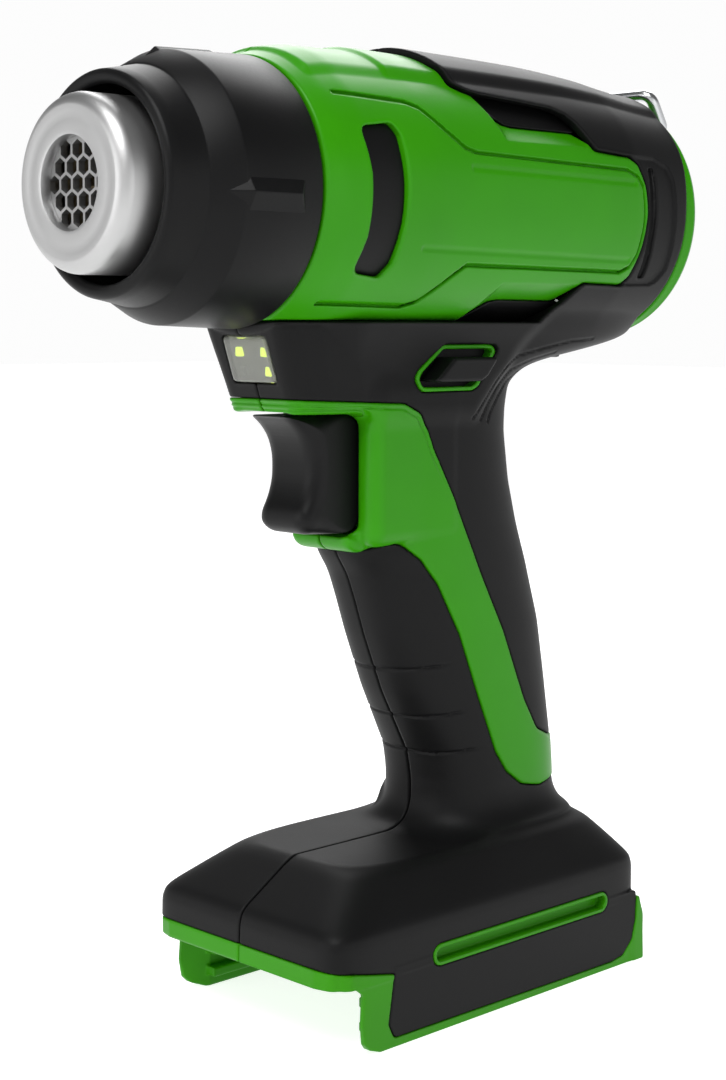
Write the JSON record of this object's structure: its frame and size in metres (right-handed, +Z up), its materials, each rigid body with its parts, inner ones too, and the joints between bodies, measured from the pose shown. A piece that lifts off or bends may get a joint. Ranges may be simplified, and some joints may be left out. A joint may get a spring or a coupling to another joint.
{
  "type": "cordless heat gun",
  "caption": "Cordless pistol-grip heat gun without its battery: steel nozzle, black collar, green barrel, sprung trigger, lock-off button, work light and folding wire hook.",
  "frame": {"origin": "centre of the nozzle's flat face, on the barrel axis", "axes": "+X along the barrel axis, from the outlet to the rear intake; hot air leaves towards -X; +Z up, from the foot to the barrel; +Y across the tool, so the side the picture shows is -Y"},
  "size_m": [0.2056, 0.074, 0.2502],
  "materials": {
    "green_shell": "satin",
    "black_overmould": "matte",
    "black_plastic": "satin",
    "steel_nozzle": "satin",
    "steel_wire": "satin",
    "mica": "matte",
    "heating_wire": "matte",
    "ceramic": "matte",
    "brass": "satin",
    "white_plastic": "satin",
    "armature": "satin",
    "magnet": "matte",
    "lens": "gloss",
    "circuit_board": "satin",
    "wire_red": "satin",
    "wire_black": "satin"
  },
  "bodies": {
    "body": {"housing_left": "green_shell", "housing_right": "green_shell", "grip_left": "black_overmould", "grip_right": "black_overmould", "side_strip_left": "green_shell", "side_strip_right": "green_shell", "side_panels": "black_overmould", "front_collar": "black_plastic", "nozzle": "steel_nozzle", "nozzle_grille": "steel_nozzle", "heater_shield": "steel_nozzle", "mica_sleeve": "mica", "mica_former": "mica", "heating_coil": "heating_wire", "thermal_cutout": "brass", "heater_flange": "ceramic", "air_guide": "black_plastic", "motor_can": "steel_wire", "motor_magnets": "magnet", "motor_bushes": "brass", "motor_mount": "black_plastic", "rear_ring": "green_shell", "intake_grille": "black_plastic", "side_vents": "black_plastic", "window_panels": "black_plastic", "led_lens": "lens", "led_board": "circuit_board", "trigger_spring": "steel_wire", "switch_module": "black_plastic", "lock_rings": "green_shell", "control_board": "circuit_board", "foot": "green_shell", "slot_trims": "green_shell", "terminal_block": "black_plastic", "terminals": "brass", "housing_screws": "steel_wire", "ring_screws": "steel_wire", "motor_leads": "wire_red", "battery_leads": "wire_black"},
    "trigger": {"trigger": "black_plastic"},
    "lock": {"lock_button": "black_plastic"},
    "hook": {"wire_hook": "steel_wire"},
    "rotor": {"fan_impeller": "white_plastic", "motor_shaft": "steel_wire", "motor_armature": "armature"}
  },
  "joints": [
    {"name": "trigger_slide", "type": "slide", "parent": "body", "child": "trigger", "axis": [1, 0, 0], "range_m": [0, 0.0065], "stiffness_N_per_m": 600, "springref_m": -0.004, "deforming": ["trigger_spring"]},
    {"name": "lock_slide", "type": "slide", "parent": "body", "child": "lock", "axis": [0, 1, 0], "range_m": [0, 0.004], "stiffness_N_per_m": 300, "springref_m": -0.003},
    {"name": "hook_hinge", "type": "hinge", "parent": "body", "child": "hook", "pos_m": [0.2025, 0, 0.025], "axis": [0, 1, 0], "range_deg": [0, 180]},
    {"name": "fan_spin", "type": "hinge", "parent": "body", "child": "rotor", "pos_m": [0.116, 0, 0], "axis": [1, 0, 0], "continuous": true}
  ]
}
